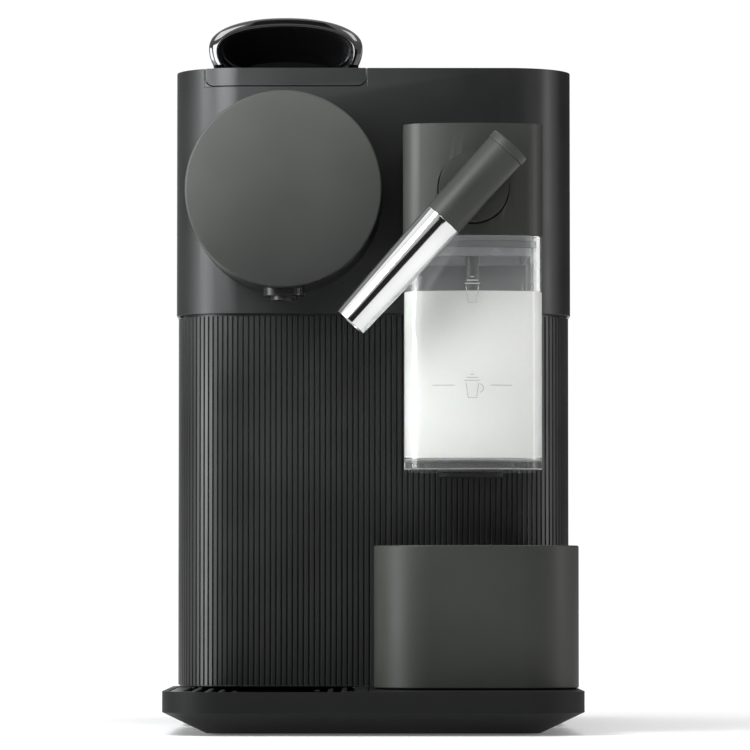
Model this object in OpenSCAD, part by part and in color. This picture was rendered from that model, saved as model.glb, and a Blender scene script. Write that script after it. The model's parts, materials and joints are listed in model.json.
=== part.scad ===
// Pod coffee machine with a milk jug: casing, capsule lever and brewing unit, milk frother head,
// capsule bin, drip tray, removable water tank. Origin under the middle of the machine, on the table.
// X is to the right, Y to the back, Z up. Millimetres.

/* [Body] */
// Width of the casing
body_w = 154; // [140:1:180]
// Depth from the front of the drip tray to the back of the water tank
total_d = 324; // [300:1:360]
// Depth of the casing
body_d = 150; // [130:1:170]
// Height of the casing top
body_h = 255; // [240:1:270]
// Height of the seam between the two casing halves
seam_z = 159.7; // [140:0.1:170]
// Front corner radius
corner_r = 25; // [15:1:30]
// Casing wall thickness
wall = 2.5; // [2:0.1:3]
// Spacing of the upright ribs
rib_pitch = 2.11; // [1.5:0.01:4]
// Depth of the grooves between the ribs
rib_depth = 0.5; // [0.3:0.1:1]
// How far the ribbed half stands back from the smooth one
rib_in = 0.8; // [0.4:0.1:1.2]

/* [Coffee head] */
// Distance of the coffee head left of the middle
head_x = -34; // [-40:1:-30]
// Height of the middle of the coffee head
head_z = 204.1; // [195:0.1:210]
// Radius of the coffee head
head_r = 37.3; // [30:0.1:40]
// Distance the coffee head stands in front of the casing
head_out = 50; // [40:1:60]
// Outside diameter of the coffee nozzle
nozzle_d = 10.2; // [8:0.1:12]

/* [Lever] */
// Width of the lever plate
lever_w = 62.3; // [55:0.1:66]
// Height of the lever handle above the casing
handle_h = 19.6; // [12:0.1:25]
// Length of the lever handle, front to back
handle_l = 65; // [50:1:75]
// Opening angle of the lever
lever_open = 85; // [60:1:90]
// Travel of the brewing carriage
brew_travel = 30; // [25:1:32]

/* [Milk jug] */
// Middle of the jug, right of the middle
jug_x = 37.3; // [34:0.1:40]
// Width of the jug lid
jug_w = 52.2; // [45:0.1:55]
// Depth of the jug
jug_d = 68.8; // [55:0.1:75]
// Height of the jug bottom
jug_z0 = 97.6; // [90:0.1:105]
// Bulge of the front of jug and lid
jug_crown = 2.6; // [1:0.1:4]
// Height of the joint between jug and lid
jug_z1 = 185.1; // [170:0.1:190]
// Height of the lid top
jug_z2 = 226.7; // [215:0.1:235]
// Height of the spout pivot
hub_z = 202.4; // [195:0.1:210]
// Lean of the milk spout from upright
spout_lean = 42; // [0:1:60]
// Length of the bright spout sleeve
sleeve_l = 51.3; // [40:0.1:60]

/* [Tray and bin] */
// Height of the drip tray rim
tray_h = 15.9; // [12:0.1:20]
// Height of the capsule bin
bin_h = 52.9; // [40:0.1:70]
// Distance the capsule bin stands in front of the casing
bin_out = 89; // [70:1:110]

/* [Water tank] */
// Depth of the water tank
tank_d = 41; // [36:1:60]
// Height of the water tank without its lid
tank_top = 243; // [200:1:250]

/* [Hidden] */
$fn = 64;
quarter = 12;                      // steps in a quarter turn of an outline
side = body_w / 2;
tray_y = -total_d / 2;             // front of the drip tray
tank_y1 = total_d / 2;             // back of the water tank
tank_y0 = tank_y1 - tank_d;
rear_y = tank_y0 - 3;              // back face of the casing
front_y = rear_y - body_d;         // front face of the casing
rear_r = 8;
seam_gap = 1;                      // shadow gap between the casing halves
crest = 0.62;                      // flat share of each rib
base_z = 16;                       // top of the base plate
foot_h = 3;
gap = 0.4;                         // clearance round loose parts
m3 = 3;                            // screw shank diameter
screw_l = 10;
cover_x = 62;                      // screw positions on the rear cover
cover_z = [30, 238];
base_screw = [[-62, 0], [62, 0], [-62, 98], [62, 98]];
boss_r = 4.5;
gland_z = 48;                      // height of the cord gland

head_y = front_y - head_out;       // front of the disc
disc_t = 4;
nozzle_y = front_y - 35;
nozzle_z = 162.6;
outlet_w = 15.2;
spigot_r = head_r - 3;

plate_x0 = head_x - lever_w / 2;   // left edge of the lever plate
plate_x1 = head_x + lever_w / 2;
plate_t = 5;
lip_z = body_h - 6.8;
pivot_y = front_y + 88;
pivot_z = body_h - 11;
axle_d = 5;
pin_d = 5;
pin_z = pivot_z - 36;
pin_y = pivot_y + brew_travel / 2; // pin with the lever shut
brew_z = 222;                      // height of the capsule axis
cage_y = pivot_y - 28.5;           // open mouth of the capsule cage
cage_l = 28;
capsule_r = 19;
cheek_in = 0.8;                    // cheeks stand this far outside the lever plate
cheek_t = 3;
cheek_y = [34, 82];
cam_t = 3;
cam_in = 1.2;
floor_z = 193;                     // underside of the brewing unit floor

jug_x0 = jug_x - jug_w / 2;
jug_x1 = jug_x + jug_w / 2;
jug_y0 = front_y - 75;             // front of the lid
jug_y1 = jug_y0 + jug_d;
jug_r = 9;
jug_wall = 2.2;
spout_y = jug_y0 - 13;             // spout axis
spout_r = 7.7;
hub_r = 13;
steam_z = 203;

bin_x0 = 0.2;
bin_x1 = 76.5;
bin_z0 = base_z + gap;
bin_y0 = front_y - bin_out;
bin_wall = 2.2;
bin_back = [8, 56, 36, 44];        // rear part: left, right, back, height

tank_z0 = base_z + gap;
tank_wall = 2.5;
valve = [-30, 141];                // tank outlet
hose_z = 9;                        // height of the hose under the base plate
button_at = [[14, -6], [37, -6], [60, -6]];
button_r = 8.5;
post_at = [[7, 9], [63, 9], [25.5, -16], [48.5, -16]]; // posts of the button board
dark = "#2b2d2c";
grey = "#55584f";
black = "#141414";
steel = "#c9cbcc";
white = "#e8e6e0";
rubber = "#1c1c1c";

function arc(cx, cy, r, a0, a1, n) =
    [for (i = [0:n]) let (a = a0 + (a1 - a0) * i / n) [cx + r * cos(a), cy + r * sin(a)]];
function rrect(x0, x1, y0, y1, rf, rb) = concat(
    arc(x0 + rf, y0 + rf, rf, 180, 270, quarter), arc(x1 - rf, y0 + rf, rf, 270, 360, quarter),
    arc(x1 - rb, y1 - rb, rb, 0, 90, quarter), arc(x0 + rb, y1 - rb, rb, 90, 180, quarter));
function body_outline(inset) = rrect(-side + inset, side - inset, front_y + inset, rear_y - inset,
    corner_r - inset, rear_r - inset);
// depth of the ribbed surface at share s of one rib: flat crest, then a V groove
function rib_at(s) = rib_in + (s > crest ? rib_depth : 0);
// ribs along a straight side from p to q, outward normal m
function rib_line(p, q, m) = let (n = round(norm(q - p) / rib_pitch))
    [for (i = [0:n - 1], s = [0, crest, (1 + crest) / 2]) p + (q - p) * (i + s) / n - m * rib_at(s)];
// ribs round a corner
function rib_arc(c, r, a0) = let (n = max(2, round(r * PI / 2 / rib_pitch)))
    [for (i = [0:n - 1], s = [0, crest, (1 + crest) / 2]) let (a = a0 + 90 * (i + s) / n)
        c + (r - rib_at(s)) * [cos(a), sin(a)]];
function ribbed_outline() = let (f = corner_r, b = rear_r, x = side, y0 = front_y, y1 = rear_y) concat(
    rib_arc([-x + f, y0 + f], f, 180), rib_line([-x + f, y0], [x - f, y0], [0, -1]),
    rib_arc([x - f, y0 + f], f, 270), rib_line([x, y0 + f], [x, y1 - b], [1, 0]),
    rib_arc([x - b, y1 - b], b, 0), rib_line([x - b, y1], [-x + b, y1], [0, 1]),
    rib_arc([-x + b, y1 - b], b, 90), rib_line([-x, y1 - b], [-x, y0 + f], [-1, 0]));

module slab(pts, z0, z1) { translate([0, 0, z0]) linear_extrude(z1 - z0) polygon(pts); }
module block(x0, x1, y0, y1, z0, z1) { translate([x0, y0, z0]) cube([x1 - x0, y1 - y0, z1 - z0]); }
// side view outline, points in Y and Z, drawn out from x0 to x1
module side_slab(pts, x0, x1) {
    translate([x0, 0, 0]) rotate([90, 0, 90]) linear_extrude(x1 - x0) polygon(pts);
}
// cylinder along Y from y0 to y1
module rod_y(x, z, y0, y1, r) { translate([x, y0, z]) rotate([-90, 0, 0]) cylinder(h = y1 - y0, r = r); }
// cylinder along X from x0 to x1
module rod_x(y, z, x0, x1, r) { translate([x0, y, z]) rotate([0, 90, 0]) cylinder(h = x1 - x0, r = r); }
// tube through a list of points, round at every bend
module pipe(pts, r) {
    for (i = [0:len(pts) - 2]) {
        d = pts[i + 1] - pts[i];
        translate(pts[i]) rotate([0, acos(d[2] / norm(d)), atan2(d[1], d[0])]) cylinder(h = norm(d), r = r);
    }
    for (i = [1:1:len(pts) - 2]) translate(pts[i]) rotate([37, 23, 0]) sphere(r = r * 1.15);
}

// ---- base and casing ----
module rubber_feet() {
    color(rubber) for (x = [-58, 58], y = [-14, 138])
        translate([x, y, 0]) { cylinder(h = foot_h, r1 = 8, r2 = 9); cylinder(h = foot_h + 2, r = 4); }
}

module base_chassis() {
    color(dark) difference() {
        union() {
            difference() {
                slab(rrect(-side + 1.5, side - 1.5, front_y - 0.8, tank_y1 - 1, 23.5, 23.5), foot_h, base_z);
                slab(rrect(-side + 5, side - 5, front_y + 3, tank_y1 - 4.5, 20, 20), foot_h - 1, base_z - 3);
            }
            for (x = [-58, 58], y = [-14, 138]) translate([x, y, foot_h]) cylinder(h = 11, r = 10);
            for (p = base_screw) translate([p[0], p[1], foot_h + 4]) cylinder(h = 7, r = 6);
        }
        // sockets of the feet
        for (x = [-58, 58], y = [-14, 138]) translate([x, y, foot_h - 1]) cylinder(h = 3, r = 4);
        // slot for the tongue of the tray
        block(-41, 41, front_y - 2, front_y + 5, 4.4, 9.8);
        for (p = base_screw) translate([p[0], p[1], 0]) {
            cylinder(h = 20, d = m3 + 0.4);
            cylinder(h = 10, r = 3.2);
        }
        translate([valve[0], valve[1], 0]) cylinder(h = 20, r = 9);
        translate([valve[0], 111, 0]) cylinder(h = 20, r = 4);
    }
}

module lower_housing() {
    lip = seam_z + 3;
    color(dark) difference() {
        union() {
            difference() {
                slab(ribbed_outline(), base_z, seam_z - seam_gap);
                slab(body_outline(wall + rib_in), base_z - 1, seam_z + 1);
            }
            // inner lip that locates the upper half
            difference() {
                slab(body_outline(wall + 0.1), seam_z - seam_gap - 0.1, lip);
                slab(body_outline(wall + 2.1), seam_z - 2, lip + 1);
            }
            difference() {
                slab(body_outline(wall + 0.5), seam_z - 6, seam_z - seam_gap);
                slab(body_outline(wall + 2.1), seam_z - 7, lip + 1);
            }
            for (p = base_screw) let (web_x = sign(p[0]) * (side - 3)) {
                translate([p[0], p[1], base_z]) cylinder(h = 14, r = boss_r);
                block(min(p[0], web_x), max(p[0], web_x), p[1] - 1.5, p[1] + 1.5, base_z, base_z + 14);
            }
            for (x = [-cover_x, cover_x]) rod_y(x, cover_z[0], rear_y - 14, rear_y - 3, boss_r);
            for (y = [14, 92], z = [44, 146]) rod_x(y, z, -side + 3, -70, 3);
        }
        for (p = base_screw) translate([p[0], p[1], base_z - 1]) cylinder(h = 12, d = m3);
        for (x = [-cover_x, cover_x]) rod_y(x, cover_z[0], rear_y - 10, rear_y + 1, m3 / 2);
        // opening behind the rear cover
        block(-54, 54, rear_y - 5, rear_y + 1, 40, lip + 1);
        // mouth for the capsule bin
        block(bin_back[0] - 2.5, bin_back[1] + 2.5, front_y - 1, front_y + 5,
            base_z - 1, bin_z0 + bin_back[3] + 2.5);
        // slot for the tab of the jug rest
        block(jug_x - 8, jug_x + 8, front_y - 1, front_y + 5, jug_z0 + 5, jug_z0 + 11);
        // seat of the cord gland
        rod_x(100, gland_z, side - 5, side + 1, 6);
    }
}

module upper_housing() {
    color(dark) difference() {
        union() {
            difference() {
                slab(body_outline(0), seam_z, body_h);
                slab(body_outline(wall), seam_z - 1, body_h + 1);
            }
            // ledge under the top panel
            difference() {
                slab(body_outline(wall - 0.1), body_h - 5, body_h - 3);
                slab(body_outline(wall + 3), body_h - 6, body_h);
                block(plate_x0 - 4, plate_x1 + 4, front_y - 1, front_y + 20, body_h - 6, body_h);
            }
            for (x = [-cover_x, cover_x]) rod_y(x, cover_z[1], rear_y - 14, rear_y - 2, boss_r);
        }
        for (x = [-cover_x, cover_x]) rod_y(x, cover_z[1], rear_y - 10, rear_y + 1, m3 / 2);
        block(-54, 54, rear_y - 5, rear_y + 1, seam_z - 1, 228);
        // notch for the lip of the lever plate
        block(plate_x0 - gap, plate_x1 + gap, front_y - 1, front_y + 14, lip_z - gap, body_h + 1);
        rod_y(head_x, head_z, front_y - 1, front_y + 14, spigot_r);
        rod_y(jug_x, steam_z, front_y - 1, front_y + wall + 1, 7);
    }
}

module top_panel() {
    t = 3;
    well = 2;
    color(dark) difference() {
        union() {
            slab(body_outline(wall + 0.1), body_h - t, body_h);
            // well under the lever, with the capsule slot in its floor
            intersection() {
                block(plate_x0 - gap - 1.6, plate_x1 + gap + 1.6, front_y, 33,
                    body_h - 8.5, body_h - t + 0.5);
                slab(body_outline(wall + 0.4), body_h - 9, body_h);
            }
            // posts that carry the button board
            for (p = post_at) translate([p[0], p[1], body_h - 10.4]) cylinder(h = 8, r = 2.5);
        }
        block(plate_x0 - gap, plate_x1 + gap, front_y, 33.1, body_h - 8.5 + well, body_h + 1);
        block(plate_x0 - gap, plate_x1 + gap, 33, pivot_y + 11.5, body_h - 12, body_h + 1);
        block(head_x - capsule_r - 1.5, head_x + capsule_r + 1.5, cage_y - brew_travel - 0.5, cage_y - 0.3,
            body_h - 12, body_h);
        for (p = button_at) translate([p[0], p[1], body_h - t - 1]) cylinder(h = t + 2, r = button_r + 0.3);
    }
}

module rear_cover() {
    color(dark) difference() {
        slab(rrect(-68, 68, rear_y, rear_y + 2.4, 0.6, 0.6), 22, 246);
        for (x = [-cover_x, cover_x], z = cover_z) {
            rod_y(x, z, rear_y - 1, rear_y + 3, m3 / 2 + 0.2);
            rod_y(x, z, rear_y + 0.8, rear_y + 3, 3);
        }
        // cooling slots
        for (i = [0:11]) block(-40, 40, rear_y - 1, rear_y + 3, 60 + i * 8, 63 + i * 8);
    }
}

module screw_solid() { // M3 with a flat head, head on top
    difference() {
        union() {
            translate([0, 0, -screw_l]) cylinder(h = screw_l, d = m3);
            cylinder(h = 1.5, r = 2.7);
        }
        translate([0, 0, 0.5]) cylinder(h = 2, r = 1.2, $fn = 6);
    }
}

module casing_screws() {
    color(steel) {
        for (x = [-cover_x, cover_x], z = cover_z)
            translate([x, rear_y + 0.8, z]) rotate([-90, 0, 0]) screw_solid();
        for (p = base_screw) translate([p[0], p[1], 10]) rotate([180, 0, 0]) screw_solid();
    }
}

module cord_gland() {
    color(rubber) difference() {
        union() {
            rod_x(100, gland_z, side - 6, side - rib_in, 5.95);
            rod_x(100, gland_z, side - 8, side - 3.4, 8);
        }
        rod_x(100, gland_z, side - 9, side + 1, 3.4);
    }
}

// ---- coffee head ----
module coffee_head() {
    color(black) difference() {
        union() {
            rod_y(head_x, head_z, head_y + disc_t, front_y, head_r);
            rod_y(head_x, head_z, front_y - 1, front_y + wall + 1.5, spigot_r - 0.1);
        }
        rod_y(head_x, head_z, head_y, front_y + wall + 2, spigot_r - 2);
        translate([head_x, nozzle_y, nozzle_z]) cylinder(h = 14, d = nozzle_d + 0.2);
    }
}

module head_disc() {
    color(grey) difference() {
        union() {
            rod_y(head_x, head_z, head_y, head_y + disc_t, head_r);
            rod_y(head_x, head_z, head_y + 1, head_y + 8, spigot_r - 2.1);
        }
        rod_y(head_x, head_z, head_y + 2.2, head_y + 9, spigot_r - 4);
    }
}

module coffee_outlet() {
    color(dark) difference() {
        slab(rrect(head_x - outlet_w / 2, head_x + outlet_w / 2, nozzle_y - 8, nozzle_y + 9, 5, 3),
            nozzle_z + 1.6, nozzle_z + 9);
        rod_y(head_x, head_z, nozzle_y - 10, nozzle_y + 10, head_r);
        translate([head_x, nozzle_y, nozzle_z]) cylinder(h = 14, d = nozzle_d + 0.1);
    }
}

module outlet_nozzle() {
    color(black) difference() {
        translate([head_x, nozzle_y, nozzle_z]) cylinder(h = 11, d = nozzle_d);
        translate([head_x, nozzle_y, nozzle_z - 1]) cylinder(h = 13, d = nozzle_d - 4);
    }
}

module coffee_channel() {
    y_in = front_y + 16;
    low = nozzle_z + 11;
    color(white) difference() {
        union() {
            // funnel under the brewing unit, then the channel down to the nozzle
            block(head_x - 9, head_x + 9, front_y + 5, front_y + 26, 186, 200);
            side_slab([[y_in, 195], [nozzle_y - 4.6, 187.5], [nozzle_y - 4.6, low], [nozzle_y + 4.6, low],
                [nozzle_y + 4.6, 179], [y_in, 186.5]], head_x - 4.6, head_x + 4.6);
        }
        block(head_x - 7.4, head_x + 7.4, front_y + 6.6, front_y + 24.4, 188, 201);
        side_slab([[y_in + 2, 193.4], [nozzle_y - 3, 185.9], [nozzle_y - 3, low - 1], [nozzle_y + 3, low - 1],
            [nozzle_y + 3, 180.7], [y_in + 2, 188.4]], head_x - 3, head_x + 3);
    }
}

// ---- milk side of the casing ----
module steam_connector() {
    color(black) difference() {
        union() {
            rod_y(jug_x, steam_z, front_y - 2, front_y, 11);
            rod_y(jug_x, steam_z, front_y - 2, front_y + 7, 6.9);
            rod_y(jug_x, steam_z, front_y - 18, front_y - 1, 4.8);
        }
        rod_y(jug_x, steam_z, front_y - 19, front_y + 8, 2);
        rod_y(jug_x, steam_z, front_y + 2, front_y + 8, 3);
    }
}

module jug_rest() { // pad that the back of the jug leans on
    color(black) {
        slab(rrect(jug_x - 12, jug_x + 12, front_y - 6, front_y + rib_in, 2, 0.5), jug_z0 + 2, jug_z0 + 14);
        // tab that passes through the casing
        block(jug_x - 8, jug_x + 8, front_y - 1, front_y + 8, jug_z0 + 5, jug_z0 + 11);
    }
}

// ---- brewing unit ----
function cheek_x0() = plate_x0 - cheek_in - cheek_t;
function cheek_x1() = plate_x1 + cheek_in + cheek_t;

module brew_frame() {
    slot_r = pin_d / 2 + 0.1;
    color("#8d9092") difference() {
        union() {
            block(cheek_x0(), plate_x0 - cheek_in, cheek_y[0], cheek_y[1], floor_z, body_h - 3.1);
            block(plate_x1 + cheek_in, cheek_x1(), cheek_y[0], cheek_y[1], floor_z, body_h - 3.1);
            block(cheek_x0(), cheek_x1(), 30, 100, floor_z, floor_z + 3);
        }
        rod_x(pivot_y, pivot_z, cheek_x0() - 1, cheek_x1() + 1, axle_d / 2 + 0.05);
        // slot of the carriage pins
        block(cheek_x0() - 1, cheek_x1() + 1, pin_y - brew_travel, pin_y, pin_z - slot_r, pin_z + slot_r);
        for (y = [pin_y - brew_travel, pin_y]) rod_x(y, pin_z, cheek_x0() - 1, cheek_x1() + 1, slot_r);
    }
}

module capsule_cage() {
    color(black) difference() {
        union() {
            rod_y(head_x, brew_z, cage_y, cage_y + 16, capsule_r + 1);
            rod_y(head_x, brew_z, cage_y + 15, cage_y + cage_l, 15);
            rod_y(head_x, brew_z, cage_y + cage_l - 1, cage_y + cage_l + 11, 5);
            block(head_x - 12, head_x + 12, 32, 56, floor_z + 3, brew_z - 10);
        }
        rod_y(head_x, brew_z, cage_y - 1, cage_y + 2, capsule_r - 0.3);
        translate([head_x, cage_y + 1, brew_z]) rotate([-90, 0, 0])
            cylinder(h = cage_l - 4, r1 = 15.2, r2 = 12);
        rod_y(head_x, brew_z, cage_y + 20, cage_y + cage_l + 12, 1.5);
        rod_y(head_x, brew_z, cage_y + cage_l + 2, cage_y + cage_l + 12, 3);
    }
}

module lever_plate() {
    lip_r = 3.4;
    color(dark) difference() {
        union() {
            intersection() {
                slab(body_outline(0), body_h - plate_t, body_h);
                block(plate_x0, plate_x1, front_y - 1, pivot_y, body_h - plate_t - 1, body_h + 1);
            }
            // rolled back end round the pivot
            intersection() {
                rod_x(pivot_y, pivot_z, plate_x0, plate_x1, 11);
                block(plate_x0, plate_x1, pivot_y - 0.1, pivot_y + 12, pivot_z, body_h);
            }
            // lip that hangs over the front, round the corner of the casing
            intersection() {
                difference() {
                    slab(body_outline(0), lip_z, body_h - 1);
                    slab(body_outline(wall), lip_z - 1, body_h);
                }
                union() {
                    block(plate_x0 + lip_r, plate_x1 - lip_r, front_y - 1, front_y + 12, lip_z, body_h - 0.5);
                    block(plate_x0, plate_x1, front_y - 1, front_y + 12, lip_z + lip_r, body_h - 0.5);
                    for (x = [plate_x0 + lip_r, plate_x1 - lip_r])
                        rod_y(x, lip_z + lip_r, front_y - 1, front_y + 12, lip_r);
                }
            }
            // barrel on the axle
            rod_x(pivot_y, pivot_z, plate_x0 + 5, plate_x1 - 5, 6);
            block(plate_x0 + 5, plate_x1 - 5, pivot_y - 6, pivot_y + 6, pivot_z, body_h - plate_t + 1);
        }
        // hollow of the rolled end beside the barrel
        for (x = [plate_x0 - 1, plate_x1 - 4.9]) rod_x(pivot_y, pivot_z, x, x + 5.9, 8);
        block(plate_x0 + 4.9, plate_x1 - 4.9, pivot_y + 6, pivot_y + 8, pivot_z - 1, pivot_z + 3);
        rod_x(pivot_y, pivot_z, plate_x0, plate_x1, axle_d / 2);
    }
}

// half outline of the handle, seen from the front: arched top, sides tucked in at the foot
function handle_arch(w, h) = concat(
    [[-w + 1.6, 0]],
    [for (i = [0:24]) let (a = 180 - 180 * i / 24)
        [w * cos(a) * (1 - 0.04 * sin(a)), h * 0.36 + h * 0.64 * pow(sin(a), 0.8)]],
    [[w - 1.6, 0]]);

// A visor: the hood reaches forward over a scoop for the fingertips, its sides run back down to the plate.
module lever_handle() {
    w = (lever_w - 2.7) / 2;
    y0 = front_y;
    y1 = front_y + handle_l;
    z0 = body_h;
    color(black) difference() {
        intersection() {
            slab(rrect(head_x - w, head_x + w, y0, y1, 9, 6), z0, z0 + handle_h + 1);
            translate([head_x, y1, z0]) rotate([90, 0, 0]) linear_extrude(handle_l)
                polygon(handle_arch(w, handle_h));
            side_slab(concat([[y1, z0], [y0 + 46, z0], [y0 + 1.5, z0 + 6.5], [y0, z0 + 9]],
                [for (i = [0:16]) let (rise = pow(cos(90 * i / 16), 0.6))
                    [y0 + handle_l * i / 16, z0 + 1.5 + (handle_h - 1.4) * rise]]), plate_x0, plate_x1);
        }
        // finger scoop: ceiling falls to the back, back wall round
        intersection() {
            translate([head_x, y0 + 40, z0 - 0.5]) rotate([90, 0, 0]) linear_extrude(41)
                polygon(handle_arch(w - 3.2, handle_h - 2.9));
            side_slab([[y0 - 1, z0 - 1], [y0 - 1, z0 + handle_h], [y0, z0 + handle_h - 3.2],
                [y0 + 30, z0 + 5.5], [y0 + 33, z0 - 1]], plate_x0, plate_x1);
            slab([for (i = [0:24]) let (a = 180 * i / 24) [head_x + (w - 2) * cos(a), y0 - 1 + 33 * sin(a)]],
                z0 - 1, z0 + handle_h);
        }
    }
}

module lever_axle() {
    color(steel) rod_x(pivot_y, pivot_z, cheek_x0() + 0.2, cheek_x1() - 0.2, axle_d / 2);
}

// place of the carriage pin seen from the turning cam, for a share t of the full opening
function cam_at(t) = let (a = lever_open * t, y = brew_travel / 2 - brew_travel * t, z = pin_z - pivot_z)
    [y * cos(a) - z * sin(a), y * sin(a) + z * cos(a)];
function cam_normal(t) = let (d = cam_at(t + 0.01) - cam_at(t - 0.01)) [-d[1], d[0]] / norm(d);
function cam_band(h, t0, t1, n) = concat(
    [for (i = [0:n]) let (t = t0 + (t1 - t0) * i / n) cam_at(t) + h * cam_normal(t)],
    [for (i = [n:-1:0]) let (t = t0 + (t1 - t0) * i / n) cam_at(t) - h * cam_normal(t)]);

module cam_2d() {
    difference() {
        union() {
            polygon(cam_band(6.7, -0.13, 1.13, 20));
            polygon([[-3.5, -1], [3.5, 1], cam_at(0.56) + [5, 3], cam_at(0.44) + [-5, 0]]);
        }
        polygon(cam_band(pin_d / 2 + 0.2, -0.01, 1.01, 20));
        for (t = [0, 1]) translate(cam_at(t)) circle(r = pin_d / 2 + 0.2);
    }
}

module lever_cams() {
    color("#8d9092") for (x = [plate_x0 + cam_in, plate_x1 - cam_in - cam_t]) difference() {
        union() {
            translate([x, pivot_y, pivot_z]) rotate([90, 0, 90]) linear_extrude(cam_t) cam_2d();
            rod_x(pivot_y, pivot_z, x, x + cam_t, 6);
        }
        rod_x(pivot_y, pivot_z, x - 1, x + cam_t + 1, axle_d / 2);
    }
}

module brew_carriage() {
    arm = 4.7;
    color(white) difference() {
        union() {
            block(plate_x0 + arm, plate_x1 - arm, cage_y - 15.5, cage_y - 8, pin_z - 5, pin_z + 7);
            block(head_x - capsule_r, head_x + capsule_r, cage_y - 15.5, cage_y - 8, pin_z - 5, brew_z + 14);
            rod_y(head_x, brew_z, cage_y - 9, cage_y - 2.5, capsule_r - 1);
            for (x = [plate_x0 + arm, plate_x1 - arm - 3])
                block(x, x + 3, cage_y - 15.5, pin_y + 5, pin_z - 5, pin_z + 5);
            rod_y(head_x, pin_z + 1, cage_y - 37, cage_y - 15, 4);
        }
        rod_y(head_x, pin_z + 1, cage_y - 35, cage_y - 1, 2);
        translate([head_x, cage_y - 34, pin_z - 6]) cylinder(h = 7, r = 2);
        rod_x(pin_y, pin_z, plate_x0, plate_x1, pin_d / 2);
    }
}

module piercing_plate() {
    color(steel) difference() {
        rod_y(head_x, brew_z, cage_y - 2.5, cage_y - 0.6, capsule_r - 1.5);
        for (i = [-2:2], j = [-2:2]) rod_y(head_x + 5 * i, brew_z + 5 * j, cage_y - 3, cage_y, 0.7, $fn = 16);
    }
}

module carriage_pins() {
    color(steel) {
        rod_x(pin_y, pin_z, cheek_x0() + 0.2, plate_x0 + 7.7, pin_d / 2);
        rod_x(pin_y, pin_z, plate_x1 - 7.7, cheek_x1() - 0.2, pin_d / 2);
    }
}

module capsule_chute() {
    y0 = cage_y - brew_travel - 2.5;
    top = floor_z - 3;
    x0 = head_x - capsule_r - 1.5;
    x1 = head_x + capsule_r + 1.5;
    low = 66;
    color(dark) translate([0, 31.9, 0]) rotate([90, 0, 0]) difference() {
        linear_extrude(31.9 - y0) polygon([[x0 - 2.2, top], [x1 + 2.2, top], [54.2, low], [9.8, low]]);
        translate([0, 0, 2]) linear_extrude(27.9 - y0) polygon([[x0, top + 1], [x1, top + 1], [x1, top],
            [52, low], [52, low - 1], [12, low - 1], [12, low], [x0, top]]);
    }
}

module internal_frame() {
    color(dark) difference() {
        union() {
            block(-66, 66, 100, 103, base_z, floor_z);
            block(cheek_x0(), cheek_x1(), 32, 101, floor_z - 3, floor_z);
            block(-66, -63, 60, 101, 150, floor_z);
            block(0, 3, 60, 101, 168, floor_z);
        }
        rod_y(-45, 100, 99, 104, 4.2);
        block(-67, 67, 99, 104, base_z - 1, base_z + 4);
        for (x = [-62, 62]) translate([x, 98, base_z - 1]) cylinder(h = 16, r = boss_r + 1);
        for (x = [-67, 60]) block(x, x + 7, 95, 104, base_z - 1, base_z + 15);
    }
}

// ---- water and steam ----
module thermoblock() {
    color("#9a9c9d") difference() {
        union() {
            block(24, 64, 66, 100, 84, 168);
            for (i = [0:6]) block(26, 62, 62, 67, 90 + 11 * i, 94 + 11 * i);
            translate([44, 83, 76]) cylinder(h = 10, r = 5);
            translate([44, 83, 167]) cylinder(h = 5, r = 6);
        }
        translate([44, 83, 75]) cylinder(h = 12, r = 3);
    }
}

module steam_valve() {
    color(steel) difference() {
        union() {
            translate([44, 83, 172]) cylinder(h = 22, r = 11);
            block(38, 50, 70, 83, 176, 190);
            translate([44, 83, 193]) cylinder(h = 5, r = 5);
        }
        translate([44, 83, 195]) cylinder(h = 4, r = 3);
        rod_y(44, 183, 69, 75, 3);
    }
}

module pump() {
    color("#b9bbbb") difference() {
        union() {
            block(-20, 20, 50, 90, 24, 64);
            rod_x(70, 44, -46, -19, 10);
            rod_x(70, 44, 19, 40, 8);
            rod_x(70, 44, -52, -45, 5);
            rod_x(70, 44, 39, 46, 5);
        }
        rod_x(70, 44, -53, -48, 3);
        rod_x(70, 44, 42, 47, 3);
    }
}

module pump_mounts() {
    color(rubber) for (x = [-16, 4]) block(x, x + 12, 54, 86, base_z, 24);
}

module flow_meter() {
    color(white) difference() {
        union() { rod_y(-45, 100, 84, 100, 14); rod_y(-45, 100, 78, 85, 5); }
        rod_y(-45, 100, 77, 82, 3);
        rod_y(-45, 100, 96, 101, 3);
    }
}

module control_board() {
    color("#1f5a34") {
        block(-70, -68.4, 8, 96, 38, 152);
        block(-68.4, -50, 30, 62, 118, 146);
        block(-68.4, -58, 72, 90, 120, 142);
        for (i = [0:3]) block(-68.4, -62, 14 + 20 * i, 28 + 20 * i, 48, 62);
    }
}

module button_board() {
    z = body_h - 12;
    color("#1f5a34") {
        block(4, 66, -19, 12, z, z + 1.6);
        for (p = button_at) translate([p[0], p[1], z + 1.6]) cylinder(h = 2.7, r = 3);
    }
}

module tank_valve_seat() {
    color(rubber) difference() {
        translate([valve[0], valve[1], 4]) cylinder(h = 12, r = 8.9);
        translate([valve[0], valve[1], 5.4]) cylinder(h = 11, r = 7);
        rod_y(valve[0], hose_z, valve[1] - 10, valve[1], 3);
    }
}

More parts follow.
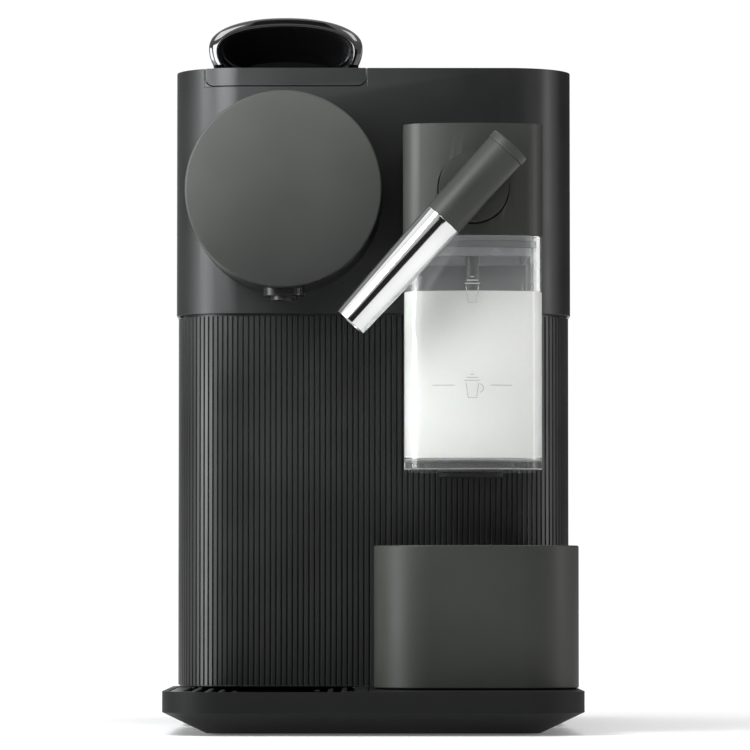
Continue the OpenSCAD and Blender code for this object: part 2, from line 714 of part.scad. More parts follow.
module water_hoses() {
    color("#dcdcd8") {
        pipe([[valve[0], valve[1] - 5, hose_z], [valve[0], 111, hose_z], [valve[0], 111, 100],
            [-45, 111, 100], [-45, 96, 100]], 3);
        pipe([[-45, 82, 100], [-45, 74, 100], [-57, 70, 80], [-57, 70, 44], [-48, 70, 44]], 3);
        pipe([[42, 70, 44], [56, 70, 44], [56, 75, 68], [44, 83, 68], [44, 83, 86]], 3);
        pipe([[44, 83, 195], [44, 83, 211], [44, 98, 211], [head_x, 98, 211], [head_x, 98, brew_z],
            [head_x, cage_y + cage_l + 2, brew_z]], 3);
    }
}

module steam_hose() {
    color("#dcdcd8") pipe([[44, 75, 183], [44, 56, 183],
        [jug_x, 40, steam_z], [jug_x, front_y + 2, steam_z]], 3);
}

// ---- buttons ----
module button(i) {
    p = button_at[i];
    color(black) translate([p[0], p[1], body_h - 6.2]) difference() {
        union() {
            cylinder(h = 6.7, r = button_r);
            translate([0, 0, 1]) cylinder(h = 1.6, r = button_r + 1.2);
        }
        translate([0, 0, -1]) difference() { cylinder(h = 5, r = button_r - 1.5); cylinder(h = 5, r = 2); }
    }
}
module button_espresso() { button(0); }
module button_lungo() { button(1); }
module button_milk() { button(2); }

// ---- milk jug and frother head ----
// outline of the jug and its lid, moved in by inset: bulging front, round corners of radius r
function jug_outline(inset, r) = let (h = jug_w / 2 - inset - r, t = atan(2 * jug_crown / h),
    w = h + r * sin(t), y0 = jug_y0 + inset, y1 = jug_y1 - inset, cy = y0 + jug_crown + r * cos(t)) concat(
    arc(jug_x - h, cy, r, 180, 270 - t, quarter),
    [for (i = [1:11]) let (u = i / 6 - 1) [jug_x + u * w, y0 + jug_crown * u * u]],
    arc(jug_x + h, cy, r, 270 + t, 360, quarter),
    arc(jug_x + h, y1 - r, r, 0, 90, quarter), arc(jug_x - h, y1 - r, r, 90, 180, quarter));

module milk_jug() {
    color("#c3c9cc", 0.35) difference() {
        slab(jug_outline(0.3, jug_r), jug_z0, jug_z1 - 0.2);
        slab(jug_outline(2.3, jug_r - 2), jug_z0 + 4, jug_z1 + 1);
    }
}

module jug_foot() {
    w = 12.1;
    color(black) slab(rrect(jug_x - w, jug_x + w, front_y - 30, front_y - 8, 5, 5), jug_z0 - 1.8, jug_z0);
}

module milk_lid() {
    w = jug_wall;
    color(grey) difference() {
        slab(jug_outline(0, jug_r), jug_z1, jug_z2);
        slab(jug_outline(w, jug_r - w), jug_z1 - 1, jug_z2 - w);
        rod_y(jug_x, hub_z, jug_y0 - 1, jug_y0 + w + 1, 5.1);
        rod_y(jug_x, hub_z, jug_y0 - 1, jug_y0 + 1.2, hub_r + 0.5);
        rod_y(jug_x, steam_z, jug_y1 - w - 1, jug_y1 + 1, 8.1);
        // slot of the latch
        block(jug_x0 - 1, jug_x0 + w + 1, jug_y1 - 24, jug_y1 - 9.1, 217, 223);
    }
}

module lid_base() {
    skirt = 7.7;
    color(grey) difference() {
        union() {
            slab(jug_outline(jug_wall + 0.1, 6.5), jug_z1, jug_z1 + 2.5);
            slab(jug_outline(4.4, 5), jug_z1 - skirt, jug_z1 + 1);
        }
        slab(jug_outline(6.2, 3.5), jug_z1 - skirt - 1, jug_z1);
        translate([jug_x, jug_y0 + 30, jug_z1 - 1]) cylinder(h = 5, r = 2.6);
    }
}

module lid_seal() {
    color(rubber) difference() {
        slab(jug_outline(2.4, 6.8), jug_z1 - 4.6, jug_z1 - 2.2);
        slab(jug_outline(4.4, 5), jug_z1 - 5, jug_z1 - 2);
    }
}

module froth_chamber() {
    color(black) difference() {
        union() {
            rod_y(jug_x, hub_z, jug_y0 + 12.4, jug_y1 - 22, 10);
            rod_y(jug_x, steam_z, jug_y1 - 24, jug_y1 - 0.4, 8);
            translate([jug_x, jug_y0 + 30, jug_z1 + 2.5]) cylinder(h = 8, r = 4);
        }
        rod_y(jug_x, steam_z, jug_y1 - 15, jug_y1, 5);
        rod_y(jug_x, hub_z, jug_y0 + 11, jug_y1 - 10, 2);
        translate([jug_x, jug_y0 + 30, jug_z1 + 1]) cylinder(h = 16, r = 2.6);
    }
}

module suction_tube() {
    color(white) difference() {
        translate([jug_x, jug_y0 + 30, jug_z0 + 7]) cylinder(h = jug_z1 - jug_z0, r = 2.5);
        translate([jug_x, jug_y0 + 30, jug_z0 + 6]) cylinder(h = jug_z1 - jug_z0 + 2, r = 1.6);
    }
}

module lid_latch() {
    color(black) {
        block(jug_x0 + 0.5, jug_x0 + 4, jug_y1 - 23.7, jug_y1 - 9.4, 217.3, 222.7);
        block(jug_x0 + jug_wall + 0.2, jug_x0 + 5, jug_y1 - 26, jug_y1 - 9.4, 216, 224);
    }
}

module at_spout() { translate([jug_x, spout_y, hub_z]) rotate([0, spout_lean, 0]) children(); }

module spout_body() {
    color(grey) {
        difference() {
            union() {
                rod_y(jug_x, hub_z, spout_y + 3, jug_y0 + 0.9, hub_r);
                rod_y(jug_x, hub_z, jug_y0 - 1, jug_y0 + 11.5, 5);
                at_spout() translate([0, 0, -17.2]) cylinder(h = 34, r = spout_r);
            }
            rod_y(jug_x, hub_z, spout_y, jug_y0 + 12, 2);
            at_spout() translate([0, 0, -18]) cylinder(h = 18, r = 3);
        }
    }
}

module spout_cap() {
    color(grey) at_spout() translate([0, 0, 16.8]) cylinder(h = 3.5, r = spout_r + 0.3);
}

module spout_sleeve() {
    color(steel) at_spout() translate([0, 0, -17.2 - sleeve_l]) difference() {
        cylinder(h = sleeve_l, r1 = 6.35, r2 = spout_r);
        translate([0, 0, -1]) cylinder(h = sleeve_l + 2, r = 5.2);
    }
}

module spout_liner() {
    color(black) at_spout() translate([0, 0, -16.4 - sleeve_l]) difference() {
        cylinder(h = sleeve_l - 0.8, r = 5.1);
        translate([0, 0, -1]) cylinder(h = sleeve_l + 2, r = 3.4);
    }
}

// ---- drip tray, grid and capsule bin ----
function tray_outline(inset) = rrect(-side + inset, side - inset,
    tray_y + inset, front_y - 1.2 - min(inset, 3), 22 - min(inset, 14), 3);

module drip_tray() {
    low = 0.6;
    chamfer_z = 8.4;
    color(dark) difference() {
        union() {
            slab(tray_outline(0), chamfer_z, tray_h);
            hull() {
                slab(tray_outline(16), low, low + 0.1);
                slab(tray_outline(0), chamfer_z - 0.1, chamfer_z + 0.1);
            }
            block(-40, 40, front_y - 5, front_y + 30, 5, 9.2);
        }
        // basin under the grid
        slab(rrect(-58, -3, tray_y + 18, front_y - 6, 8, 3), low + 2, tray_h);
        slab(rrect(-73.5, -3, tray_y + 3.5, front_y - 6, 18, 3), 9.5, tray_h + 1);
        // ledge of the grid
        slab(rrect(-74.8, -1.6, tray_y + 2.2, front_y - 4.7, 19, 4), tray_h - 2.6, tray_h + 1);
    }
}

module drip_grid() {
    n = 13;                        // slots
    x0 = -74.5;
    x1 = -1.9;
    step = (x1 - x0 - 13) / (n - 1);
    color(black) difference() {
        slab(rrect(x0, x1, tray_y + 2.5, front_y - 5, 18.7, 3.7), tray_h - 2.5, tray_h - 0.1);
        for (i = [0:n - 1]) let (x = x0 + 6.5 + i * step, m = (i == 0 || i == n - 1) ? 14 : 0)
            block(x - 1.5, x + 1.5, tray_y + 9 + m, front_y - 11 - m / 3, tray_h - 4, tray_h + 1);
    }
}

module capsule_bin() {
    w = bin_wall;
    y1 = front_y - 1.2;
    bz = bin_z0 + bin_back[3];
    color(grey) difference() {
        union() {
            slab(rrect(bin_x0, bin_x1, bin_y0, y1, 21, 4), bin_z0, bin_z0 + bin_h);
            block(bin_back[0], bin_back[1], y1 - 6, bin_back[2], bin_z0, bz);
        }
        slab(rrect(bin_x0 + w, bin_x1 - w, bin_y0 + w, y1 - w, 18.8, 2), bin_z0 + w, bin_z0 + bin_h + 1);
        block(bin_back[0] + w, bin_back[1] - w, y1 - 7, bin_back[2] - w, bin_z0 + w, bz + 1);
    }
}

// ---- water tank ----
module water_tank() {
    w = tank_wall;
    color("#9fb4bd", 0.5) difference() {
        slab(rrect(-side + 1, side - 1, tank_y0, tank_y1, 5, 24), tank_z0, tank_top);
        slab(rrect(-side + 1 + w, side - 1 - w, tank_y0 + w, tank_y1 - w, 3, 21.5),
            tank_z0 + 3, tank_top + 1);
        translate([valve[0], valve[1], tank_z0 - 1]) cylinder(h = 6, r = 5.1);
    }
}

module tank_valve() {
    color(black) translate([valve[0], valve[1], 0]) difference() {
        union() {
            translate([0, 0, 11]) cylinder(h = tank_z0 - 6, r = 5);
            translate([0, 0, tank_z0 + 3]) cylinder(h = 3, r = 8);
        }
        translate([0, 0, 10]) cylinder(h = 30, r = 2);
    }
}

module tank_lid() {
    t = 3;
    color(dark) difference() {
        union() {
            slab(rrect(-side + 1, side - 1, tank_y0, tank_y1, 5, 24), tank_top + 0.3, tank_top + 0.3 + t);
            slab(rrect(-side + 5, side - 5, tank_y0 + 4, tank_y1 - 8, 3, 17), tank_top - 2.5, tank_top + 0.5);
        }
        slab(rrect(-side + 7, side - 7, tank_y0 + 6, tank_y1 - 10, 2, 15), tank_top - 3.5, tank_top);
    }
}

rubber_feet();
base_chassis();
lower_housing();
upper_housing();
top_panel();
rear_cover();
casing_screws();
cord_gland();
coffee_head();
head_disc();
coffee_outlet();
outlet_nozzle();
coffee_channel();
steam_connector();
jug_rest();
brew_frame();
capsule_cage();
capsule_chute();
internal_frame();
thermoblock();
steam_valve();
pump();
pump_mounts();
flow_meter();
control_board();
button_board();
tank_valve_seat();
water_hoses();
steam_hose();
lever_plate();
lever_handle();
lever_axle();
lever_cams();
brew_carriage();
piercing_plate();
carriage_pins();
button_espresso();
button_lungo();
button_milk();
milk_jug();
jug_foot();
milk_lid();
lid_base();
lid_seal();
froth_chamber();
suction_tube();
lid_latch();
spout_body();
spout_cap();
spout_sleeve();
spout_liner();
drip_tray();
drip_grid();
capsule_bin();
water_tank();
tank_valve();
tank_lid();
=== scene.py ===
import bpy, bmesh, json, math
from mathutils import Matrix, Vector


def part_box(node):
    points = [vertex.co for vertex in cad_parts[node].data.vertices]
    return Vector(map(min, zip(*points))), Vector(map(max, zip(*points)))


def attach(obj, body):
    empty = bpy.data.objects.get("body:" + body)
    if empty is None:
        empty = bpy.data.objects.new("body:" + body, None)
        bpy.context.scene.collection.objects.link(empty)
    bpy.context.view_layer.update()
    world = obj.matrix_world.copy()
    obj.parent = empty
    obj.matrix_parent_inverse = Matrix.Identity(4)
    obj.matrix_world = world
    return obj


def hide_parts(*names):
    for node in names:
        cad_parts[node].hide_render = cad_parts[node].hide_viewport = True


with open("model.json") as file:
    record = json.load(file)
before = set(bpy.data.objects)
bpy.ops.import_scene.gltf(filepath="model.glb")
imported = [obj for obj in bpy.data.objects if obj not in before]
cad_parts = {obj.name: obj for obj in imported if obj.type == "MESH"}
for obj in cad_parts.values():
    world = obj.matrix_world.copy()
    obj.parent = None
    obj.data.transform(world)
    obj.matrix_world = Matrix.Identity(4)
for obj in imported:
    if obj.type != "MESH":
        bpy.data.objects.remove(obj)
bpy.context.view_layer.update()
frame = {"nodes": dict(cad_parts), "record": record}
MM = 0.001
CASING_CORNER = 25 * MM    # radius of the upright front edges of the casing
CROWN = 2.6 * MM           # how far the jug's front bows forward
JUG_WALL = 2.0 * MM

# ---- camera ----
cam = bpy.data.objects.new("Camera", bpy.data.cameras.new("Camera"))
bpy.context.collection.objects.link(cam)
cam.location = (0.0006, -2.007, 0.051)
cam.rotation_euler = (math.radians(92.46), 0, 0)
cam.data.lens = 245.5
cam.data.sensor_width = 36
bpy.context.scene.camera = cam


# ---- materials ----
def grain(nt, scale, detail):
    """Noise in the object's own coordinates."""
    coords = nt.nodes.new("ShaderNodeTexCoord")
    noise = nt.nodes.new("ShaderNodeTexNoise")
    noise.inputs["Scale"].default_value = scale
    noise.inputs["Detail"].default_value = detail
    nt.links.new(coords.outputs["Object"], noise.inputs["Vector"])
    return noise.outputs["Fac"]


def ramp_range(nt, src, lo, hi, a=0.35, b=0.65):
    """Map src from a..b to lo..hi, clamped at both ends."""
    ramp = nt.nodes.new("ShaderNodeMapRange")
    ramp.inputs["From Min"].default_value = a
    ramp.inputs["From Max"].default_value = b
    ramp.inputs["To Min"].default_value = lo
    ramp.inputs["To Max"].default_value = hi
    nt.links.new(src, ramp.inputs["Value"])
    return ramp.outputs["Result"]


def colour_mix(nt):
    """A mix node set to colours."""
    mix = nt.nodes.new("ShaderNodeMix")
    mix.data_type = "RGBA"
    return mix


def scaled(rgb, gain, lift=0.0):
    """A colour made darker or lighter by gain, plus lift, with its alpha."""
    return (*[min(1, c * gain + lift) for c in rgb], 1)


def surface(name, rgb, rough, vary=0.12, spec=0.5, metallic=0.0, bump=0.15, fine=2600, wear=0.5,
            coat=0.0, rough_vary=0.05):
    """A finish with slightly patchy tone and roughness, fine grain, and lighter worn edges."""
    mat = bpy.data.materials.new(name)
    mat.use_nodes = True
    nt = mat.node_tree
    shader = nt.nodes["Principled BSDF"]
    patch = grain(nt, scale=18, detail=4)
    tone = colour_mix(nt)
    tone.inputs["A"].default_value = scaled(rgb, 1 - vary)
    tone.inputs["B"].default_value = scaled(rgb, 1 + vary)
    nt.links.new(ramp_range(nt, patch, 0, 1), tone.inputs["Factor"])
    edges = nt.nodes.new("ShaderNodeNewGeometry").outputs["Pointiness"]
    worn = colour_mix(nt)
    worn.inputs["B"].default_value = scaled(rgb, 1.7, 0.01)
    nt.links.new(ramp_range(nt, edges, 0, wear, 0.55, 0.70), worn.inputs["Factor"])
    nt.links.new(tone.outputs["Result"], worn.inputs["A"])
    nt.links.new(worn.outputs["Result"], shader.inputs["Base Color"])
    fine_grain = grain(nt, scale=fine, detail=2)
    patchy = ramp_range(nt, patch, rough - rough_vary, rough + rough_vary)
    nt.links.new(patchy, shader.inputs["Roughness"])
    relief = nt.nodes.new("ShaderNodeBump")
    relief.inputs["Strength"].default_value = bump
    relief.inputs["Distance"].default_value = 0.00006
    nt.links.new(fine_grain, relief.inputs["Height"])
    nt.links.new(relief.outputs["Normal"], shader.inputs["Normal"])
    shader.inputs["Metallic"].default_value = metallic
    shader.inputs["Specular IOR Level"].default_value = spec
    shader.inputs["Coat IOR"].default_value = 1.6
    shader.inputs["Coat Weight"].default_value = coat
    shader.inputs["Coat Roughness"].default_value = 0.03
    return mat


def clear(name, rgb, rough, through=1.0):
    """A see-through plastic; through below 1 leaves it a little hazy."""
    mat = surface(name, rgb, rough, vary=0.03, bump=0.03, wear=0.0, rough_vary=0.015)
    shader = mat.node_tree.nodes["Principled BSDF"]
    shader.inputs["Transmission Weight"].default_value = through
    shader.inputs["IOR"].default_value = 1.45
    return mat


# ---- light ----
FRONT_LEVEL, BACK_LEVEL, OVERHEAD = 0.50, 1.02, 0.45    # brightness of the room
COOL = (0.95, 0.98, 1.0)                                # tint of the two lights on the left
TOP_FRONT = (-0.03, -0.03, 0.26)                        # the spot that the high boards aim at

scene = bpy.context.scene
scene.view_settings.view_transform = "Standard"
world = bpy.data.worlds.new("studio")
scene.world = world
world.use_nodes = True


def studio_world():
    """Soft room light: white behind the object, dimmer in front, brightest overhead."""
    nt = world.node_tree
    sky = nt.nodes["Background"]
    sky.inputs["Color"].default_value = (1, 1, 1, 1)
    way = nt.nodes.new("ShaderNodeSeparateXYZ")
    nt.links.new(nt.nodes.new("ShaderNodeTexCoord").outputs["Generated"], way.inputs[0])
    level = ramp_range(nt, way.outputs["Y"], FRONT_LEVEL, BACK_LEVEL, -0.45, 0.35)
    total = nt.nodes.new("ShaderNodeMath")
    total.operation = "ADD"
    nt.links.new(level, total.inputs[0])
    nt.links.new(ramp_range(nt, way.outputs["Z"], 0, OVERHEAD, 0.25, 0.8), total.inputs[1])
    nt.links.new(total.outputs[0], sky.inputs["Strength"])


def facing(at, aim):
    """Rotation that points a light or a board at aim."""
    return (Vector(aim) - Vector(at)).to_track_quat("-Z", "Y").to_euler()


def area(name, at, aim, size, size_y, power, tint=(1, 1, 1)):
    """A rectangular light that the camera doesn't see."""
    light = bpy.data.lights.new(name, "AREA")
    light.shape = "RECTANGLE"
    light.size, light.size_y, light.energy = size, size_y, power
    light.color = tint
    lamp = bpy.data.objects.new(name, light)
    lamp.location = at
    lamp.rotation_euler = facing(at, aim)
    lamp.visible_camera = False
    bpy.context.collection.objects.link(lamp)


def card(name, at, aim, width, height, level):
    """A board, dark or glowing, that only shows in reflections, as set up round a glossy object."""
    bpy.ops.mesh.primitive_plane_add(size=1, location=at)
    board = bpy.context.object
    board.name = name
    board.scale = (width, height, 1)
    board.rotation_euler = facing(at, aim)
    mat = bpy.data.materials.new(name)
    mat.use_nodes = True
    shader = mat.node_tree.nodes["Principled BSDF"]
    shader.inputs["Base Color"].default_value = (0, 0, 0, 1)
    shader.inputs["Specular IOR Level"].default_value = 0
    shader.inputs["Emission Color"].default_value = (1, 1, 1, 1)
    shader.inputs["Emission Strength"].default_value = level
    board.data.materials.append(mat)
    board.visible_camera = board.visible_diffuse = False
    board.visible_shadow = board.visible_transmission = False


area("side_left", (-1.15, -0.50, 0.225), (0, 0, 0.225), 0.62, 0.45, 8.5, COOL)
area("side_right", (1.25, -0.28, 0.225), (0, 0, 0.225), 0.30, 0.45, 1.6)
area("key", (-0.16, -0.25, 0.268), (-0.03, -0.08, 0.205), 0.16, 0.12, 0.66, COOL)
card("soft_top_left", (-0.42, -0.61, 0.84), TOP_FRONT, 0.36, 0.40, 7)
card("soft_top_right", (0.37, -0.61, 0.80), TOP_FRONT, 0.22, 0.36, 5.5)
card("flag_top", (-0.02, -0.61, 0.95), TOP_FRONT, 0.30, 0.55, 0.03)
card("flag_front", (0, -1.2, 0.22), (0, 0, 0.16), 1.7, 0.44, 0.02)
card("flag_right", (0.80, 0.80, 0.5), (0, 0, 0.15), 1.5, 1.5, 0.05)
card("flag_left", (-0.85, 0.75, 0.5), (0, 0, 0.15), 1.3, 1.5, 0.25)
studio_world()

# ---- the finishes ----
FINISHES = {
    "charcoal_plastic": dict(rgb=(0.0105, 0.0108, 0.0106), rough=0.34, spec=0.42, bump=0.08),
    "tray_plastic": dict(rgb=(0.008, 0.0082, 0.008), rough=0.5, spec=0.12, bump=0.25, wear=0.2),
    "black_plastic": dict(rgb=(0.006, 0.006, 0.006), rough=0.36, spec=0.4),
    "warm_grey_plastic": dict(rgb=(0.0265, 0.0288, 0.0245), rough=0.46, spec=0.34, bump=0.2),
    "frosted_grey": dict(rgb=(0.27, 0.28, 0.285), rough=0.3),
    "print_grey": dict(rgb=(0.50, 0.51, 0.50), rough=0.5, spec=0.3, bump=0.02, wear=0),
    # flat black that stands in for the shade inside the gap round the spout's hub: painted shade
    "painted_shade_black": dict(rgb=(0.001, 0.001, 0.001), rough=0.9, spec=0.05, bump=0.1, wear=0),
    "white_plastic": dict(rgb=(0.70, 0.69, 0.65), rough=0.45),
    "gloss_black": dict(rgb=(0.004, 0.004, 0.0045), rough=0.08, coat=1, bump=0.02, rough_vary=0.02),
    "chrome": dict(rgb=(0.74, 0.74, 0.74), rough=0.07, metallic=1, bump=0.03, wear=0, rough_vary=0.02),
    "steel": dict(rgb=(0.55, 0.56, 0.57), rough=0.32, metallic=1, wear=0.3),
    "cast_aluminium": dict(rgb=(0.55, 0.55, 0.56), rough=0.5, metallic=1, bump=0.5, fine=900),
    "rubber": dict(rgb=(0.012, 0.012, 0.012), rough=0.75, bump=0.5),
    "silicone": dict(rgb=(0.10, 0.10, 0.10), rough=0.45, spec=0.4),
    "circuit_board": dict(rgb=(0.02, 0.10, 0.045), rough=0.4),
    "milk": dict(rgb=(0.93, 0.94, 0.90), rough=0.35, vary=0.01, bump=0, wear=0),
    # the disc's grey, onto which the shading function below paints shade, lighter at the upper left and
    # darker at the lower right
    "disc_painted_shade": dict(rgb=(0.027, 0.0288, 0.0256), rough=0.46, spec=0.36, bump=0.2),
}
M = {name: surface(name, **look) for name, look in FINISHES.items()}
M["clear_plastic"] = clear("clear_plastic", (0.97, 0.98, 0.985), 0.03, through=0.945)
M["smoked_tank"] = clear("smoked_tank", (0.55, 0.60, 0.62), 0.06)
milk_shader = M["milk"].node_tree.nodes["Principled BSDF"]
milk_shader.inputs["Subsurface Weight"].default_value = 0.4
milk_shader.inputs["Subsurface Radius"].default_value = (0.006, 0.005, 0.004)


def paint_shade_across(mat, middle, reach, light, dark):
    """Paint shade into the base colour: lighter at the upper left and darker at the lower right, across reach
    metres, as if light fell from the upper left.
    """
    lean = -0.35    # how much of the change runs sideways, against 1 for up and down
    nt = mat.node_tree
    shader = nt.nodes["Principled BSDF"]
    under = shader.inputs["Base Color"].links[0].from_socket
    spot = nt.nodes.new("ShaderNodeSeparateXYZ")
    nt.links.new(nt.nodes.new("ShaderNodeTexCoord").outputs["Object"], spot.inputs[0])
    slant = nt.nodes.new("ShaderNodeMath")
    slant.operation = "MULTIPLY_ADD"
    nt.links.new(spot.outputs["X"], slant.inputs[0])
    slant.inputs[1].default_value = lean
    nt.links.new(spot.outputs["Z"], slant.inputs[2])
    centre = middle.z + lean * middle.x
    painted_shade_gain = ramp_range(nt, slant.outputs[0], dark, light, centre - reach / 2, centre + reach / 2)
    mix = colour_mix(nt)
    mix.blend_type = "MULTIPLY"
    mix.inputs["Factor"].default_value = 1.0
    nt.links.new(under, mix.inputs["A"])
    nt.links.new(painted_shade_gain, mix.inputs["B"])
    nt.links.new(mix.outputs["Result"], shader.inputs["Base Color"])


# painted shade on the disc: its colour is raised to 1.75 times at the upper left and lowered to 0.4 times at
# the lower right
disc_lo, disc_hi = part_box("head_disc")
paint_shade_across(M["disc_painted_shade"], (disc_lo + disc_hi) / 2, disc_hi.z - disc_lo.z, 1.75, 0.40)

# ---- CAD nodes: material, rounded edges, smooth shading ----
slots = {s["node"]: s["material_slot"] for s in frame["record"]["subparts"]}

# nodes whose finish differs a little from the slot they belong to; the disc's finish also carries painted
# shade
NODE_FINISH = {"drip_tray": "tray_plastic", "head_disc": "disc_painted_shade",
               "lever_plate": "charcoal_plastic", "lid_base": "frosted_grey"}

# width of the rounded edges in millimetres, where it isn't the usual one
USUAL_BEVEL = 0.25
BEVEL = {"lower_housing": 0.22, "upper_housing": 0.6, "head_disc": 0.8, "coffee_head": 0.4, "milk_lid": 0.7,
         "milk_jug": 0.5, "capsule_bin": 0.8, "drip_tray": 0.7, "drip_grid": 0.4, "lever_plate": 0.6,
         "water_tank": 0.6, "tank_lid": 0.7, "spout_body": 0.4, "spout_cap": 0.6,
         "top_panel": 0.4, "base_chassis": 0.6, "rear_cover": 0.5, "rubber_feet": 0.4, "coffee_outlet": 0.4}


def dress(obj, mat, bevel):
    """Give a CAD node its material, merge its flat facets, and round its edges."""
    obj.data.materials.clear()
    obj.data.materials.append(mat)
    for face in obj.data.polygons:
        face.use_smooth = True
    weld = obj.modifiers.new("weld", "WELD")
    weld.merge_threshold = 1e-6
    flat = obj.modifiers.new("flat", "DECIMATE")
    flat.decimate_type = "DISSOLVE"
    flat.angle_limit = math.radians(1.0)
    edge = obj.modifiers.new("edge", "BEVEL")
    edge.width = bevel * MM
    edge.segments = 2
    edge.limit_method = "ANGLE"
    edge.angle_limit = math.radians(28)
    edge.harden_normals = True
    edge.use_clamp_overlap = True
    normals = obj.modifiers.new("normals", "WEIGHTED_NORMAL")
    normals.keep_sharp = True


for name, obj in frame["nodes"].items():
    dress(obj, M[NODE_FINISH.get(name, slots[name])], BEVEL.get(name, USUAL_BEVEL))


# ---- pieces made here ----
def skin(bm, a, b):
    """Faces between two closed rings with the same number of points."""
    for i in range(len(a)):
        j = (i + 1) % len(a)
        bm.faces.new((a[i], a[j], b[j], b[i]))


def add_piece(name, bm, mat, body, sharp=None):
    """Make the mesh a piece that rides on a body. With sharp, it is smooth but for edges past that angle."""
    bmesh.ops.recalc_face_normals(bm, faces=bm.faces)
    if sharp is not None:
        for face in bm.faces:
            face.smooth = True
        for edge in bm.edges:
            if len(edge.link_faces) == 2 and edge.calc_face_angle(0) > math.radians(sharp):
                edge.smooth = False
    mesh = bpy.data.meshes.new(name)
    bm.to_mesh(mesh)
    bm.free()
    piece = bpy.data.objects.new(name, mesh)
    bpy.context.collection.objects.link(piece)
    mesh.materials.append(mat)
    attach(piece, body)
    return piece


def arc(cx, cy, r, a0, a1, n=8):
    """Points on a circle from angle a0 to a1, in degrees."""
    return [(cx + r * math.cos(math.radians(a0 + (a1 - a0) * i / n)),
             cy + r * math.sin(math.radians(a0 + (a1 - a0) * i / n))) for i in range(n + 1)]


# milk in the jug: it wets the wall, so it reaches a little way into it
jug_lo, jug_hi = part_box("milk_jug")
jug_x, jug_half = (jug_lo.x + jug_hi.x) / 2, (jug_hi.x - jug_lo.x) / 2


def jug_outline(inset, r):
    """Outline of the jug with its bowed front, inset from the outer face, with corners of radius r."""
    h = jug_half - inset - r
    tilt = math.degrees(math.atan(2 * CROWN / h))
    w = h + r * math.sin(math.radians(tilt))
    y0, y1 = jug_lo.y + inset, jug_hi.y - inset
    cy = y0 + CROWN + r * math.cos(math.radians(tilt))
    front = [(jug_x + (i / 6 - 1) * w, y0 + CROWN * (i / 6 - 1) ** 2) for i in range(1, 12)]
    return (arc(jug_x - h, cy, r, 180, 270 - tilt) + front + arc(jug_x + h, cy, r, 270 + tilt, 360)
            + arc(jug_x + h, y1 - r, r, 0, 90) + arc(jug_x - h, y1 - r, r, 90, 180))


def milk():
    """The milk, from its rounded foot up to a surface with a low rim at the wall."""
    into_wall, corner = 0.12 * MM, 7 * MM
    foot, top = jug_lo.z + 3.9 * MM, jug_lo.z + 66.6 * MM
    levels = ((foot, 1.0 * MM), (foot + 0.3 * MM, 0.3 * MM), (foot + 1 * MM, 0),
              (top - 0.5 * MM, 0), (top, 0.15 * MM), (top - 0.3 * MM, 1.2 * MM))
    bm = bmesh.new()
    rings = [[bm.verts.new((x, y, z)) for x, y in jug_outline(JUG_WALL - into_wall + inset, corner - inset)]
             for z, inset in levels]
    for a, b in zip(rings, rings[1:]):
        skin(bm, a, b)
    bm.faces.new(list(reversed(rings[0])))
    bm.faces.new(rings[-1])
    add_piece("milk", bm, M["milk"], "jug", sharp=35)


milk()


# printed marks on the front of the jug: two level marks, a tall cup and a mug
def print_strokes(name, strokes, width=0.34 * MM):
    """Thin raised strokes that follow the jug's bowed face; strokes are lists of (x, z)."""
    bm = bmesh.new()
    reach = jug_half - 9 * MM              # half width of the bowed front
    sunk, thick = 0.02 * MM, 0.12 * MM     # depth into the jug's wall, whole thickness

    def corner(x, z, out):
        return bm.verts.new((x, jug_lo.y + CROWN * ((x - jug_x) / reach) ** 2 + sunk - out, z))

    for line in strokes:
        for (xa, za), (xb, zb) in zip(line, line[1:]):
            length = math.hypot(xb - xa, zb - za)
            nx, nz = -(zb - za) / length * width / 2, (xb - xa) / length * width / 2
            steps = max(1, int(length / MM))
            rings = []
            for i in range(steps + 1):
                x, z = xa + (xb - xa) * i / steps, za + (zb - za) * i / steps
                rings.append([corner(x + nx, z + nz, 0), corner(x - nx, z - nz, 0),
                              corner(x - nx, z - nz, thick), corner(x + nx, z + nz, thick)])
            for a, b in zip(rings, rings[1:]):
                skin(bm, a, b)
            bm.faces.new(rings[0])
            bm.faces.new(list(reversed(rings[-1])))
    add_piece(name, bm, M["print_grey"], "jug")


def cup(cx, z, w, h):
    """A tapered cup of width w and height h, with three lines above it for its lid and knob."""
    mouth, base, mouth_z = w * 0.40, w * 0.26, z + h * 0.62
    body = [(cx - mouth, mouth_z), (cx - base, z), (cx + base, z), (cx + mouth, mouth_z)]
    return [body] + [[(cx - w * side, z + h * up), (cx + w * side, z + h * up)]
                     for side, up in ((0.5, 0.72), (0.36, 0.84), (0.12, 0.97))]


def jug_marks():
    high, low, middle = jug_lo.z + 62 * MM, jug_lo.z + 26.6 * MM, jug_x - 0.5 * MM
    ear = arc(middle + 2.6 * MM, low + 3.6 * MM, 1.6 * MM, 80, -80)
    line_z, near, far = low + 4.7 * MM, 6.6 * MM, 14.8 * MM
    print_strokes("mark_tall_cup", cup(middle, high, 5.8 * MM, 10 * MM))
    print_strokes("mark_mug", cup(middle, low, 6.0 * MM, 9 * MM) + [ear])
    print_strokes("mark_level", [[(middle + s * near, line_z), (middle + s * far, line_z)] for s in (-1, 1)],
                  0.3 * MM)


jug_marks()


